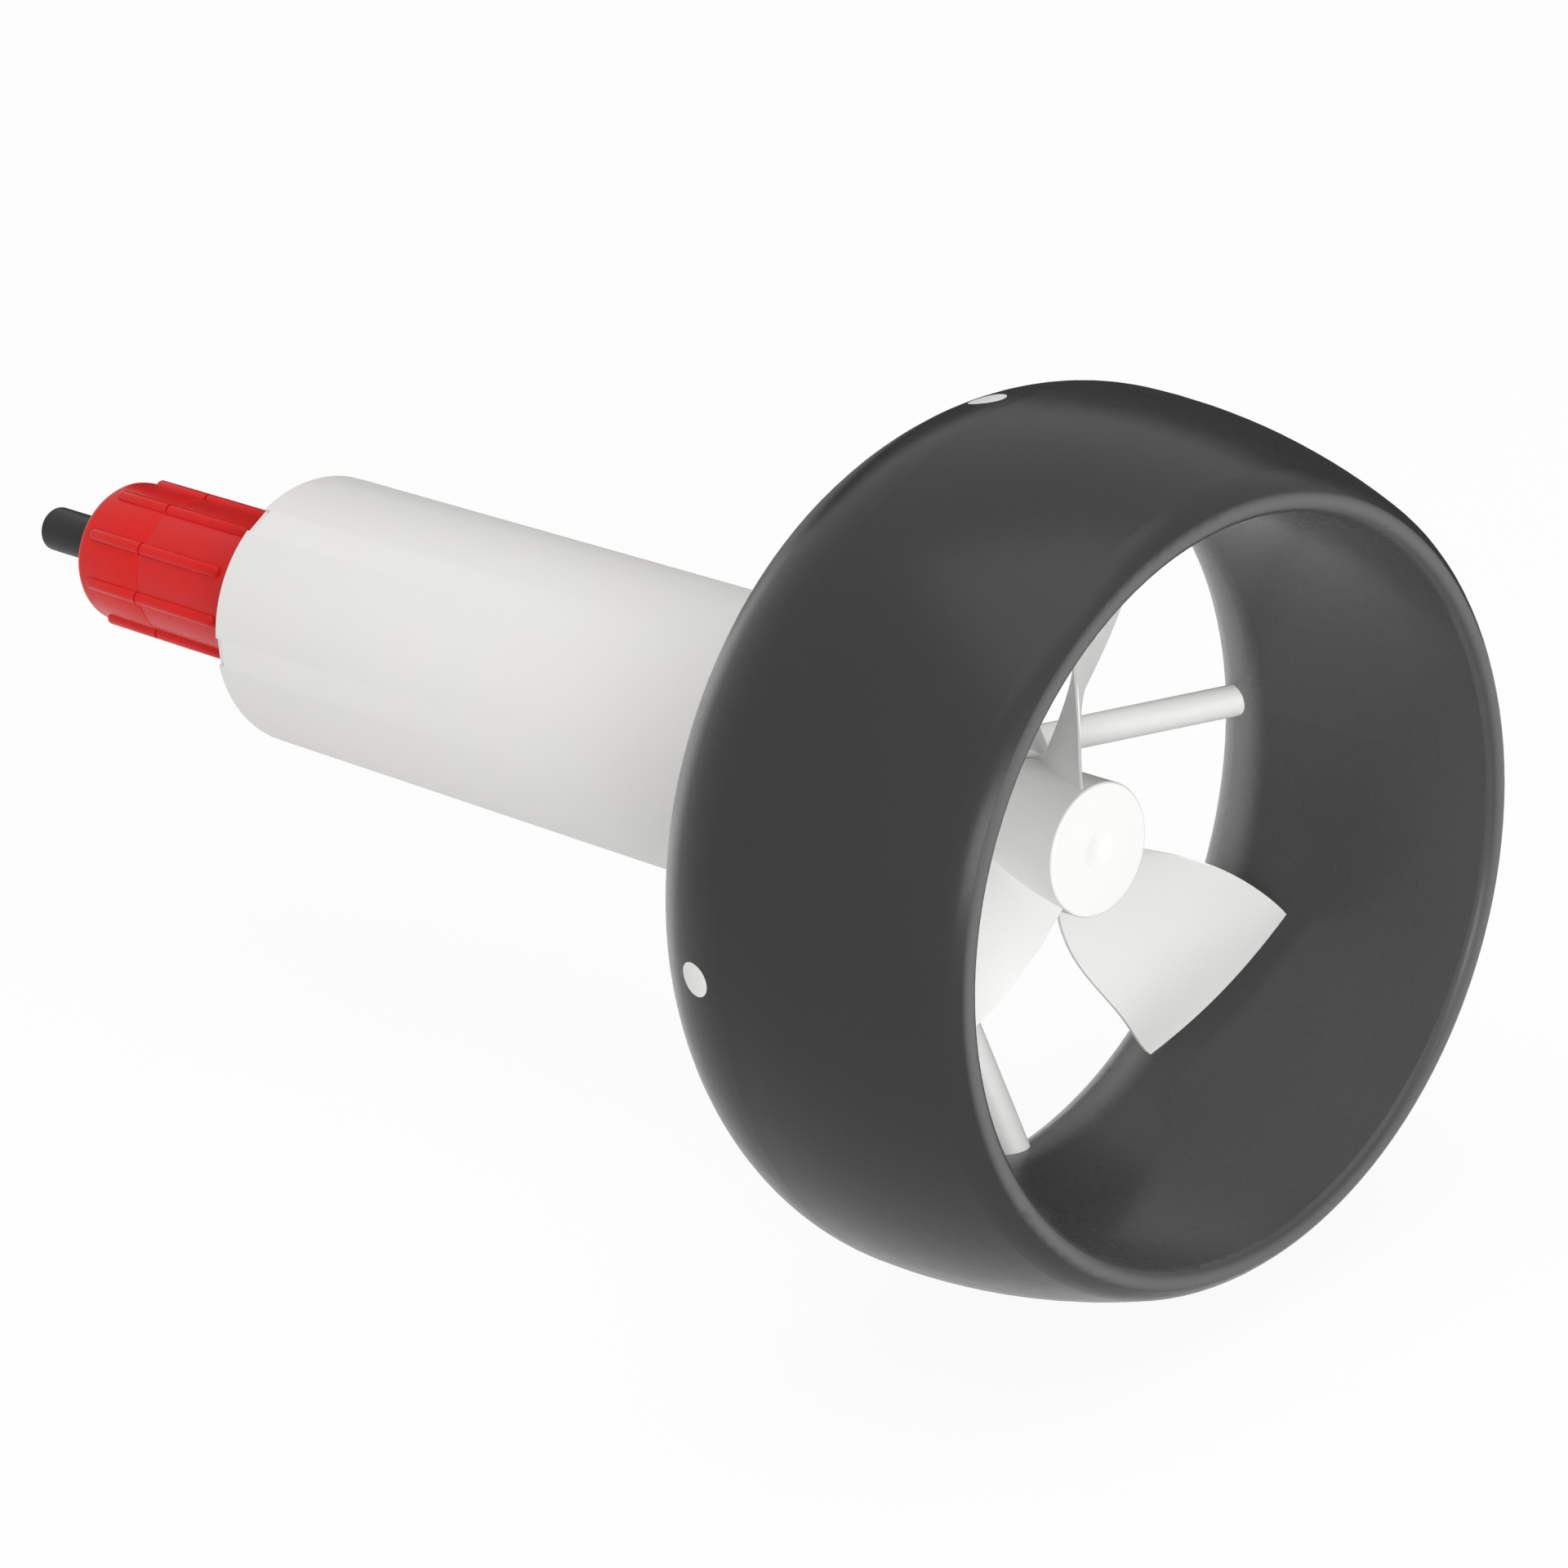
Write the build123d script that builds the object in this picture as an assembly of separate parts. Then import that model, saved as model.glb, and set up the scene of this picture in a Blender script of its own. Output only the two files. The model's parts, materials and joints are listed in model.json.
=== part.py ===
from build123d import *
import os
from math import atan2, cos, pi, radians, sin

os.makedirs("parts", exist_ok=True)

# Underwater thruster: a motor in a sealed pipe drives a propeller in a nozzle ring on four struts.
# Millimetres. +X runs along the shaft to the open mouth of the nozzle, +Z is up, and the origin is
# the middle of the pipe on the shaft axis. x is a place along the shaft and r is a distance from it.

# Fits
slip = 0.05  # radial clearance of a piece that is pushed or screwed into its seat
running = 0.04  # radial clearance of a shaft in a bush
moving_gap = 0.3  # gap between a turning piece and one that stands still

# Housing pipe
housing_radius = 20.0
housing_wall = 3.0
housing_length = 113.0
notch_count = 6
notch_width = 4.2
notch_depth = 0.6
notch_length = 1.4

# Nose, the front bulkhead
nose_shoulder = 13.0
nose_step = 0.3  # how far the nose stays below the face of the pipe
nose_cone_length = 13.2
nose_tip_radius = 9.8
nose_blend = 4.0
spigot_length = 11.0

# O-rings, squashed in their grooves
o_ring_width = 2.4
o_ring_depth = 1.5
o_ring_corner = 0.4

# Rear bulkhead and its retaining ring
plug_recess = 3.5
plug_thickness = 9.0
clip_thickness = 1.2
clip_depth = 1.0
clip_width = 2.2
clip_ear_radius = 1.9
clip_ear_hole = 0.8
clip_opening = 34.0  # degrees from ear to ear

# Cable gland
gland_radius = 10.85
gland_length = 46.9  # from the gasket to the outer face of the nut
nut_length = 14.8
nut_wall = 3.0
nut_edge = 0.9
gland_thread_radius = 9.0
gland_thread_length = 9.5
gland_neck_radius = 8.0
gasket_thickness = 1.0
locknut_thickness = 4.0
locknut_across_flats = 20.0
neck_overhang = 1.0
seam = 0.5  # edge break on each side of the joint between nut and body
rib_count = 9
rib_radius = 1.0
rib_height = 0.9
rib_end = 0.5
rib_phase = 25.0
rib_setback = 3.8
rib_end_gap = 10.8  # from the end of a rib to the mouth of the pipe
seal_radius = 6.5
seal_depth = 7.0
washer_thickness = 0.9
washer_radius = 8.5

# Cable
cable_radius = 3.4
cable_tail = 18.2
cable_clearance = 0.3
lead_radius = 1.15
lead_spread = 1.35
copper_radius = 0.55
lead_fit = 0.03
lead_bend_run = 8.0
lead_overlap = 3.2  # how far a lead reaches along its terminal
copper_bare = 2.0

# Propeller
tip_clearance = 2.7
hub_radius = 9.0
hub_length = 13.8
hub_edge = 0.4
hub_dimple_radius = 2.6
hub_dimple_depth = 0.4
blade_count = 3
blade_phase = -44.5
pitch = 98.9
blade_edge = 0.5
# Blade sections from root to tip, all as shares of the tip radius: height above the axis, reach of
# the front and rear edges to either side of the blade's centre line, place of the flat face there
# behind the hub's front end, and depth of the rounded back.
blade_sections = [
    (0.090, 0.053, 0.031, 0.191, 0.093),
    (0.200, 0.091, 0.073, 0.160, 0.080),
    (0.333, 0.135, 0.162, 0.133, 0.066),
    (0.550, 0.186, 0.253, 0.118, 0.053),
    (0.800, 0.215, 0.304, 0.126, 0.040),
    (1.040, 0.213, 0.302, 0.149, 0.027),
]

# Shaft line
shaft_radius = 2.5
bush_wall = 2.0
bush_length = 8.0
washer_gap = 0.6  # thickness of the thrust washer in front of the nose
drive_pin_radius = 1.0
drive_pin_length = 12.0
drive_pin_inset = 2.2
hub_front_wall = 3.6
shaft_seal_radius = 6.0
shaft_seal_length = 5.0
seal_shell = 1.1
seal_lip_width = 0.8
seal_lip_length = 2.2
garter_radius = 0.45
thrust_washer_radius = 5.6
rear_thrust_washer = 0.9

# Nozzle ring
duct_length = 50.0
duct_lead = 10.6  # how far the ring reaches back past the hub
duct_outer_radius = 59.0
duct_thickness = 11.2
# Points of the ring's section, which round arcs join: share of the ring's length from the rear, and
# share of its thickness from the outside.
duct_points = {
    "crown": (0.300, 0.0),
    "shoulder": (0.925, 0.482),
    "front_lip": (0.986, 0.672),
    "mouth": (0.968, 0.924),
    "throat_front": (0.400, 1.0),
    "throat_rear": (0.180, 1.0),
    "flare": (0.090, 0.902),
    "rear_lip": (0.0015, 0.589),
    "rim": (0.007, 0.469),
}

# Struts
strut_radius = 2.2
strut_foot = 8.3
strut_head = 10.3
strut_socket = 7.0

# Coupling and motor mount
coupling_radius = 6.0
coupling_length = 16.0
coupling_play = 2.2
grub_radius = 1.5
grub_length = 3.0
grub_key = 0.75
spacer_wall = 1.7
mount_thickness = 4.0
mount_screw_radius = 1.5
mount_screw_circle = 8.0
mount_screw_grip = 3.0
screw_head_radius = 2.6
screw_head_height = 1.8
screw_socket = 1.3

# Motor
motor_gap = 0.25  # between the motor and the spacer round it
can_wall = 1.0
can_front_wall = 4.0
motor_boss_radius = 5.0
motor_boss_length = 3.0
motor_shaft_radius = 2.0
motor_bush_length = 4.5
motor_bush_wall = 1.5
magnet_thickness = 2.5
magnet_overhang = 3.0
magnet_angle = 130.0
armature_gap = 1.3
pole_count = 3
pole_width_share = 0.45
pole_shoe_share = 0.18  # of the core's radius, as are the hub and the width of a pole
pole_slot = 2.4
core_hub_share = 0.40
coil_thickness = 2.4
coil_corner = 0.9
commutator_radius = 4.0
commutator_length = 5.5
commutator_slit = 0.5
commutator_inset = 0.7
brush_width = 4.0
brush_height = 4.0
brush_length = 5.0
arm_thickness = 0.5
terminal_length = 6.5
wiring_share = 0.104  # of the pipe's length, from the gland's neck to the terminals
bell_flange = 2.5
bell_boss = 4.5

# Places along the shaft
pipe_rear = -housing_length / 2
pipe_front = housing_length / 2
spigot_rear = pipe_front - spigot_length
cone_start = pipe_front + nose_shoulder
nose_front = cone_start + nose_cone_length
hub_rear = nose_front + washer_gap + 2 * moving_gap
hub_front = hub_rear + hub_length
duct_rear = hub_rear - duct_lead
duct_front = duct_rear + duct_length
plug_rear = pipe_rear + plug_recess
plug_front = plug_rear + plug_thickness
gland_shoulder = plug_rear - gasket_thickness
gland_rear = gland_shoulder - gland_length
nut_front = gland_rear + nut_length
neck_front = plug_front + locknut_thickness + neck_overhang
cable_end = gland_rear - cable_tail
coupling_front = spigot_rear - rear_thrust_washer - 2 * moving_gap
coupling_rear = coupling_front - coupling_length
coupling_middle = (coupling_front + coupling_rear) / 2
mount_front = coupling_rear - coupling_play
mount_rear = mount_front - mount_thickness
terminal_rear = neck_front + housing_length * wiring_share
motor_rear = terminal_rear + terminal_length + bell_flange
commutator_rear = motor_rear + commutator_inset
commutator_front = commutator_rear + commutator_length
core_rear = commutator_front + armature_gap + coil_thickness
core_front = mount_rear - can_front_wall - armature_gap - coil_thickness
nose_ring_place = (spigot_rear + pipe_front) / 2
plug_ring_place = (plug_rear + plug_front) / 2
grub_places = (coupling_rear + coupling_length / 4, coupling_front - coupling_length / 4)
strut_turns = {"left": 0, "top": 90, "right": 180, "bottom": 270}

# Distances from the shaft
bore = housing_radius - housing_wall
plug_radius = bore - slip
nose_radius = housing_radius - nose_step
tip_radius = duct_outer_radius - duct_thickness - tip_clearance
motor_radius = plug_radius - spacer_wall - motor_gap
cable_hole = cable_radius + cable_clearance
motor_bush_seat = motor_shaft_radius + motor_bush_wall + slip
magnet_outer = motor_radius - can_wall - slip
magnet_inner = magnet_outer - magnet_thickness
core_radius = magnet_inner - moving_gap
pole_shoe = core_radius * pole_shoe_share
pole_width = core_radius * pole_width_share
core_hub = core_radius * core_hub_share
brush_reach = commutator_radius + running + brush_length + slip

# A block that starts at its place and grows forward and away from the shaft, or only forward
from_shaft = (Align.MIN, Align.MIN, Align.CENTER)
from_rear = (Align.MIN, Align.CENTER, Align.CENTER)


def turned(*points):
    """Solid of revolution about the shaft from (x, r) points."""
    return revolve(make_face(Polyline(*points, close=True)), Axis.X)


def ring(x0, x1, r_in, r_out):
    """Plain ring about the shaft."""
    return turned((x0, r_in), (x1, r_in), (x1, r_out), (x0, r_out))


def rod(x0, x1, radius):
    """Round bar on the shaft axis."""
    return Plane((x0, 0, 0), z_dir=(1, 0, 0)) * extrude(Circle(radius), x1 - x0)


def around(shape, count, phase=0.0):
    """Copies of a shape, evenly spaced about the shaft."""
    return [Rot(X=phase + i * 360 / count) * shape for i in range(count)]


def o_ring_groove(middle, radius):
    """Groove cut into a plug of this radius."""
    half = o_ring_width / 2
    return ring(middle - half, middle + half, radius - o_ring_depth, radius + slip)


def o_ring(middle, radius):
    """Seal ring that fills the groove from its floor to the bore."""
    inner = radius - o_ring_depth
    half = o_ring_width / 2 - slip
    edge = half - o_ring_corner
    return turned(
        (middle - edge, inner),
        (middle + edge, inner),
        (middle + half, inner + o_ring_corner),
        (middle + half, radius - o_ring_corner),
        (middle + edge, radius),
        (middle - edge, radius),
        (middle - half, radius - o_ring_corner),
        (middle - half, inner + o_ring_corner),
    )


# Housing


def housing_pipe():
    pipe = ring(pipe_rear, pipe_front, bore, housing_radius)
    groove = ring(plug_rear - clip_thickness - slip, plug_rear, bore - slip, bore + clip_depth)
    floor = housing_radius - notch_depth
    notch = Box(notch_length, notch_depth * 2, notch_width, align=from_shaft)
    return pipe - groove - around(Pos(pipe_rear, floor, 0) * notch, notch_count)


def nose():
    bush_seat = shaft_radius + bush_wall + slip
    tunnel = shaft_radius + moving_gap
    seal_seat = shaft_seal_radius + slip
    body = turned(
        (spigot_rear, 0),
        (nose_front, 0),
        (nose_front, nose_tip_radius),
        (cone_start, nose_radius),
        (pipe_front, nose_radius),
        (pipe_front, plug_radius),
        (spigot_rear, plug_radius),
    )
    shoulder = body.edges().filter_by(GeomType.CIRCLE).filter_by_position(Axis.X, cone_start, cone_start)
    body = fillet(shoulder, nose_blend)
    body -= rod(spigot_rear, nose_front, tunnel)
    body -= rod(spigot_rear, spigot_rear + bush_length, bush_seat)
    body -= rod(nose_front - shaft_seal_length - bush_length, nose_front, bush_seat)
    body -= rod(nose_front - shaft_seal_length, nose_front, seal_seat)
    body -= o_ring_groove(nose_ring_place, plug_radius)
    return body - [strut_bar(strut_radius + slip, turn) for turn in strut_turns.values()]


def rear_plug():
    body = ring(plug_rear, plug_front, gland_neck_radius + slip, plug_radius)
    return body - o_ring_groove(plug_ring_place, plug_radius)


def retaining_ring():
    """Snap ring with two ears, sprung into the groove behind the rear bulkhead."""
    outer = bore + clip_depth - slip
    inner = outer - clip_width
    half = radians(clip_opening / 2)
    across, down = 2 * outer * sin(half), -2 * outer * cos(half)
    mouth = make_face(Polyline((0, 0), (across, down), (-across, down), close=True))
    ears = [Rot(Z=side * clip_opening / 2) * Pos(0, -inner) for side in (-1, 1)]
    flat = Circle(outer) - Circle(inner) - mouth
    flat += [ear * Circle(clip_ear_radius) for ear in ears]
    flat -= [ear * Circle(clip_ear_hole) for ear in ears]
    clip_plane = Plane((plug_rear - clip_thickness, 0, 0), x_dir=(0, 1, 0), z_dir=(1, 0, 0))
    return clip_plane * extrude(flat, clip_thickness)


# Gland and cable


def gland_ribs(x0, x1):
    """Rounded grip ribs, sloped off at both ends."""
    centre = gland_radius + rib_height - rib_radius
    rear, front = x0 + rib_end, x1 - rib_end
    bar = turned((x0, 0), (x0, rib_end), (rear, rib_radius), (front, rib_radius), (x1, rib_end), (x1, 0))
    return around(Pos(0, centre, 0) * bar, rib_count, rib_phase)


def gland_nut():
    mouth = gland_thread_radius + slip
    body = turned(
        (gland_rear, cable_hole),
        (gland_rear, gland_radius - nut_edge),
        (gland_rear + nut_edge, gland_radius),
        (nut_front - seam, gland_radius),
        (nut_front, gland_radius - seam),
        (nut_front, mouth),
        (gland_rear + nut_wall, mouth),
        (gland_rear + nut_wall, cable_hole),
    )
    return body + gland_ribs(gland_rear + rib_setback, nut_front - seam)


def gland_body():
    thread_rear = nut_front - gland_thread_length
    body = turned(
        (thread_rear, seal_radius + slip),
        (thread_rear, gland_thread_radius),
        (nut_front, gland_thread_radius),
        (nut_front, gland_radius - seam),
        (nut_front + seam, gland_radius),
        (gland_shoulder, gland_radius),
        (gland_shoulder, gland_neck_radius),
        (neck_front, gland_neck_radius),
        (neck_front, cable_hole),
        (thread_rear + seal_depth, cable_hole),
        (thread_rear + seal_depth, seal_radius + slip),
    )
    return body + gland_ribs(nut_front + seam, pipe_rear - rib_end_gap)


def gland_gasket():
    return ring(gland_shoulder, plug_rear, gland_neck_radius + slip, gland_radius)


def gland_washer():
    rear = gland_rear + nut_wall
    return ring(rear, rear + washer_thickness, cable_hole, washer_radius)


def gland_seal():
    rear = gland_rear + nut_wall + washer_thickness
    return ring(rear, nut_front - gland_thread_length + seal_depth, cable_radius + slip, seal_radius)


def gland_locknut():
    flat = RegularPolygon(locknut_across_flats / 2, 6, major_radius=False)
    flat -= Circle(gland_neck_radius + slip)
    return Plane((plug_front, 0, 0), z_dir=(1, 0, 0)) * extrude(flat, locknut_thickness)


def lead_path(side, start, end):
    """Route of one lead: straight in the cable, then out to its terminal."""
    spread = brush_reach - lead_radius - slip  # the inner side of the terminal
    bend_start = neck_front + lead_radius
    return FilletPolyline(
        (start, side * lead_spread, 0),
        (bend_start, side * lead_spread, 0),
        (bend_start + lead_bend_run, side * spread, 0),
        (end, side * spread, 0),
        radius=lead_bend_run,
    )


def along(path, radius):
    return sweep(Plane(path @ 0, z_dir=path % 0) * Circle(radius), path)


def lead(side):
    route = lead_path(side, cable_end, terminal_rear + lead_overlap)
    return along(route, lead_radius) - along(route, copper_radius + lead_fit)


def lead_copper():
    end = terminal_rear + lead_overlap + copper_bare
    return [along(lead_path(side, cable_end, end), copper_radius) for side in (1, -1)]


def cable_jacket():
    end = neck_front - neck_overhang
    hole = Pos(0, lead_spread, 0) * rod(cable_end, end, lead_radius + lead_fit)
    return rod(cable_end, end, cable_radius) - around(hole, 2)


# Nozzle ring and struts


def duct_point(name):
    along_share, depth_share = duct_points[name]
    return (duct_rear + along_share * duct_length, duct_outer_radius - depth_share * duct_thickness)


def arcs(start, slope, *names):
    """Chain of arcs that run smoothly from one point of the ring's section through others."""
    chain = []
    here = duct_point(start)
    for name in names:
        chain.append(TangentArc(here, duct_point(name), tangent=slope))
        here = duct_point(name)
        slope = chain[-1] % 1
    return chain


def duct_outline():
    """Closed section of the ring, in x and r."""
    edges = arcs("crown", (1, 0), "shoulder", "front_lip", "mouth")
    edges += arcs("throat_front", (1, 0), "mouth")
    edges += arcs("throat_rear", (-1, 0), "flare", "rear_lip")
    edges += arcs("crown", (-1, 0), "rim", "rear_lip")
    edges.append(Line(duct_point("throat_rear"), duct_point("throat_front")))
    return make_face(Wire(edges))


def strut_axis():
    """Foot on the nose and direction of a strut that leans forward to the ring, in x and r."""
    foot = Vector(pipe_front + strut_foot, housing_radius)
    head = Vector(duct_rear + strut_head, duct_outer_radius)
    return foot, (head - foot).normalized()


def strut_bar(radius, turn):
    """Round bar from the socket in the nose to past the outside of the ring."""
    foot, direction = strut_axis()
    start = foot - direction * strut_socket
    length = (duct_outer_radius - housing_radius) / direction.Y + strut_socket + 2 * strut_radius
    section = Plane((start.X, start.Y, 0), z_dir=(direction.X, direction.Y, 0)) * Circle(radius)
    return Rot(X=turn) * extrude(section, length)


def nozzle_ring():
    body = revolve(duct_outline(), Axis.X)
    return body - [strut_bar(strut_radius + slip, turn) for turn in strut_turns.values()]


def strut(turn):
    """Bar cut off flush with the outside of the ring."""
    front, rear = duct_point("shoulder"), duct_point("rim")
    edges = arcs("crown", (1, 0), "shoulder") + arcs("crown", (-1, 0), "rim")
    corners = [front, (front[0], 0), (pipe_front, 0), (pipe_front, rear[1]), rear]
    edges += [Line(*ends) for ends in zip(corners, corners[1:])]
    inside = revolve(make_face(Wire(edges)), Axis.X)
    return strut_bar(strut_radius, turn) & inside


# Propeller and shaft line


def blade_section(*shares_of_tip):
    """Section of a blade on the plane at this height: a face of even pitch and a rounded back."""
    height, front, rear, setback, thickness = [share * tip_radius for share in shares_of_tip]

    def point(share, depth):
        s = share * (front + rear) - rear
        x = hub_front - setback + pitch / (2 * pi) * atan2(s, height)
        return Vector(x - depth, height, s)

    shares = (0, 0.25, 0.5, 0.75, 1)
    face = Spline(*[point(share, 0) for share in shares])
    bulge = thickness - blade_edge
    back = Spline(*[point(share, blade_edge + 4 * bulge * share * (1 - share)) for share in shares])
    return Wire([face, Line(face @ 1, back @ 1), back, Line(back @ 0, face @ 0)])


def blade():
    solid = Solid.make_loft([blade_section(*section) for section in blade_sections])
    return solid & rod(hub_rear, hub_front, tip_radius)


def propeller():
    hub = rod(hub_rear, hub_front, hub_radius)
    rim = hub.edges().filter_by(GeomType.CIRCLE).sort_by(Axis.X)[-1]
    hub = fillet(rim, hub_edge)
    screw = hub + around(blade(), blade_count, blade_phase)
    screw -= rod(hub_rear, hub_front - hub_front_wall, shaft_radius + slip)
    slot_depth = drive_pin_inset + drive_pin_radius + slip
    slot_width = 2 * (drive_pin_radius + slip)
    slot = Box(slot_depth, slot_width, drive_pin_length + 2 * slip, align=from_rear)
    screw -= Pos(hub_rear, 0, 0) * slot
    return screw - turned((hub_front - hub_dimple_depth, 0), (hub_front, 0), (hub_front, hub_dimple_radius))


def drive_pin():
    return Pos(hub_rear + drive_pin_inset, 0, 0) * Cylinder(drive_pin_radius, drive_pin_length)


def propeller_shaft():
    shaft = rod(coupling_middle + slip, hub_front - hub_front_wall - slip, shaft_radius)
    hole = Cylinder(drive_pin_radius + slip, drive_pin_length)
    return shaft - Pos(hub_rear + drive_pin_inset, 0, 0) * hole


def shaft_bush(rear):
    return ring(rear, rear + bush_length, shaft_radius + running, shaft_radius + bush_wall)


def shaft_seal():
    """Lip seal: a shell in the nose with a lip bent back along the shaft."""
    rear = nose_front - shaft_seal_length
    wall = nose_front - seal_shell
    lip = shaft_radius + running
    return turned(
        (rear, shaft_seal_radius),
        (nose_front, shaft_seal_radius),
        (nose_front, shaft_radius + moving_gap),
        (wall, lip),
        (wall - seal_lip_length, lip),
        (wall - seal_lip_length, lip + seal_lip_width),
        (wall, lip + seal_lip_width),
        (wall, shaft_seal_radius - seal_shell),
        (rear, shaft_seal_radius - seal_shell),
    )


def garter_spring():
    """Ring spring that presses the lip of the seal on the shaft."""
    place = nose_front - seal_shell - seal_lip_length + garter_radius + slip
    radius = shaft_radius + running + seal_lip_width + garter_radius + slip
    section = Pos(place, radius) * RegularPolygon(garter_radius, 8)
    return revolve(section, Axis.X)


def thrust_washer(rear, thickness):
    return ring(rear, rear + thickness, shaft_radius + running, thrust_washer_radius)


def coupling():
    body = rod(coupling_rear, coupling_front, coupling_radius)
    body -= rod(coupling_rear, coupling_middle, motor_shaft_radius + slip)
    body -= rod(coupling_middle, coupling_front, shaft_radius + slip)
    return body - [grub_hole(x) for x in grub_places]


def grub_hole(x):
    return Pos(x, 0, 0) * extrude(Circle(grub_radius + slip), coupling_radius)


def grub_screws():
    """Two set screws with a hexagon socket, seated on the shafts."""
    screws = []
    for x, seat in zip(grub_places, (motor_shaft_radius, shaft_radius)):
        screw = extrude(Circle(grub_radius), grub_length)
        screw -= Pos(0, 0, grub_length / 2) * extrude(RegularPolygon(grub_key, 6), grub_length)
        screws.append(Pos(x, 0, seat + slip) * screw)
    return screws


# Motor and its seat


def spacer(rear, front):
    return ring(rear, front, plug_radius - spacer_wall, plug_radius)


def screw_places():
    return [Pos(0, side * mount_screw_circle, 0) for side in (1, -1)]


def motor_mount():
    plate = ring(mount_rear, mount_front, motor_boss_radius + slip, plug_radius)
    hole = rod(mount_rear, mount_front, mount_screw_radius + slip)
    return plate - [place * hole for place in screw_places()]


def mount_screws():
    """Screws with a hexagon socket that hold the motor on its plate."""
    head_top = mount_front + screw_head_height
    screw = rod(mount_rear - mount_screw_grip, mount_front, mount_screw_radius)
    screw += rod(mount_front, head_top, screw_head_radius)
    socket = extrude(RegularPolygon(screw_socket, 6), screw_head_height / 2)
    screw -= Plane((head_top, 0, 0), z_dir=(-1, 0, 0)) * socket
    return [place * screw for place in screw_places()]


def motor_can():
    body = turned(
        (motor_rear, motor_radius - can_wall),
        (motor_rear, motor_radius),
        (mount_rear, motor_radius),
        (mount_rear, motor_boss_radius),
        (mount_rear + motor_boss_length, motor_boss_radius),
        (mount_rear + motor_boss_length, motor_bush_seat),
        (mount_rear - can_front_wall, motor_bush_seat),
        (mount_rear - can_front_wall, motor_radius - can_wall),
    )
    hole = rod(mount_rear - mount_screw_grip, mount_rear, mount_screw_radius + slip)
    return body - [place * hole for place in screw_places()]


def motor_bush(rear):
    return ring(rear, rear + motor_bush_length, motor_shaft_radius + running, motor_bush_seat - slip)


def magnets():
    shell = ring(core_rear - magnet_overhang, core_front + magnet_overhang, magnet_inner, magnet_outer)
    half = radians(magnet_angle / 2)
    across, up = 4 * motor_radius * sin(half), 4 * motor_radius * cos(half)
    wedge = make_face(Polyline((0, 0), (up, across), (up, -across), close=True))
    plane = Plane((motor_rear, 0, 0), x_dir=(0, 0, 1), z_dir=(1, 0, 0))
    cutter = plane * extrude(wedge, mount_rear - motor_rear)
    return [shell & part for part in around(cutter, 2)]


def armature_core():
    """Iron stack: poles with wide shoes and narrow slots between them."""
    length = core_front - core_rear
    bar = Box(length, core_radius - pole_shoe / 2, pole_width, align=from_shaft)
    gap = Box(length, core_radius, pole_slot, align=from_shaft)
    body = rod(core_rear, core_front, core_hub)
    body += ring(core_rear, core_front, core_radius - pole_shoe, core_radius)
    body += around(Pos(core_rear, 0, 0) * bar, pole_count)
    body -= around(Pos(core_rear, core_hub + slip, 0) * gap, pole_count, 180 / pole_count)
    return body - rod(core_rear, core_front, motor_shaft_radius + slip)


def windings():
    """One coil round the stem of each pole."""
    inner = core_hub + slip
    outer = core_radius - pole_shoe - slip
    stem_length = core_front - core_rear + 2 * slip
    stem_width = pole_width + 2 * slip
    full_length = stem_length + 2 * coil_thickness
    coil = Box(full_length, outer - inner, stem_width + 2 * coil_thickness)
    coil = fillet(coil.edges().filter_by(Axis.Y), coil_corner)
    coil -= Box(stem_length, outer - inner, stem_width)
    middle = (core_rear + core_front) / 2
    coil = Pos(middle, (inner + outer) / 2, 0) * coil
    return coil & rod(middle - full_length / 2, middle + full_length / 2, outer)


def commutator():
    body = ring(commutator_rear, commutator_front, motor_shaft_radius + slip, commutator_radius)
    slit = Box(commutator_length, commutator_radius, commutator_slit, align=from_shaft)
    slit = Pos(commutator_rear, (motor_shaft_radius + commutator_radius) / 2, 0) * slit
    return body - around(slit, pole_count, 180 / pole_count)


def motor_shaft():
    return rod(motor_rear - bell_flange - bell_boss + slip, coupling_middle - slip, motor_shaft_radius)


def brushes():
    rear = (commutator_rear + commutator_front - brush_width) / 2
    block = Box(brush_width, brush_length, brush_height, align=from_shaft)
    block = Pos(rear, commutator_radius + running, 0) * block
    return around(block, 2)


def brush_arms():
    """Spring strips that carry the brushes and reach out as the terminals."""
    strip = Box(commutator_front - terminal_rear, arm_thickness, brush_height, align=from_shaft)
    return around(Pos(terminal_rear, brush_reach, 0) * strip, 2)


def end_bell():
    """Plastic end of the motor: it holds the rear bush and the two brush arms."""
    flange_rear = motor_rear - bell_flange
    body = turned(
        (flange_rear - bell_boss, 0),
        (flange_rear - bell_boss, motor_boss_radius),
        (flange_rear, motor_boss_radius),
        (flange_rear, motor_radius),
        (motor_rear, motor_radius),
        (motor_rear, 0),
    )
    body -= rod(motor_rear - motor_bush_length, motor_rear, motor_bush_seat)
    body -= rod(flange_rear - bell_boss, motor_rear, motor_shaft_radius + moving_gap)
    slot = Box(bell_flange, arm_thickness + 2 * slip, brush_height + 2 * slip, align=from_shaft)
    return body - around(Pos(flange_rear, brush_reach - slip, 0) * slot, 2)


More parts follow.
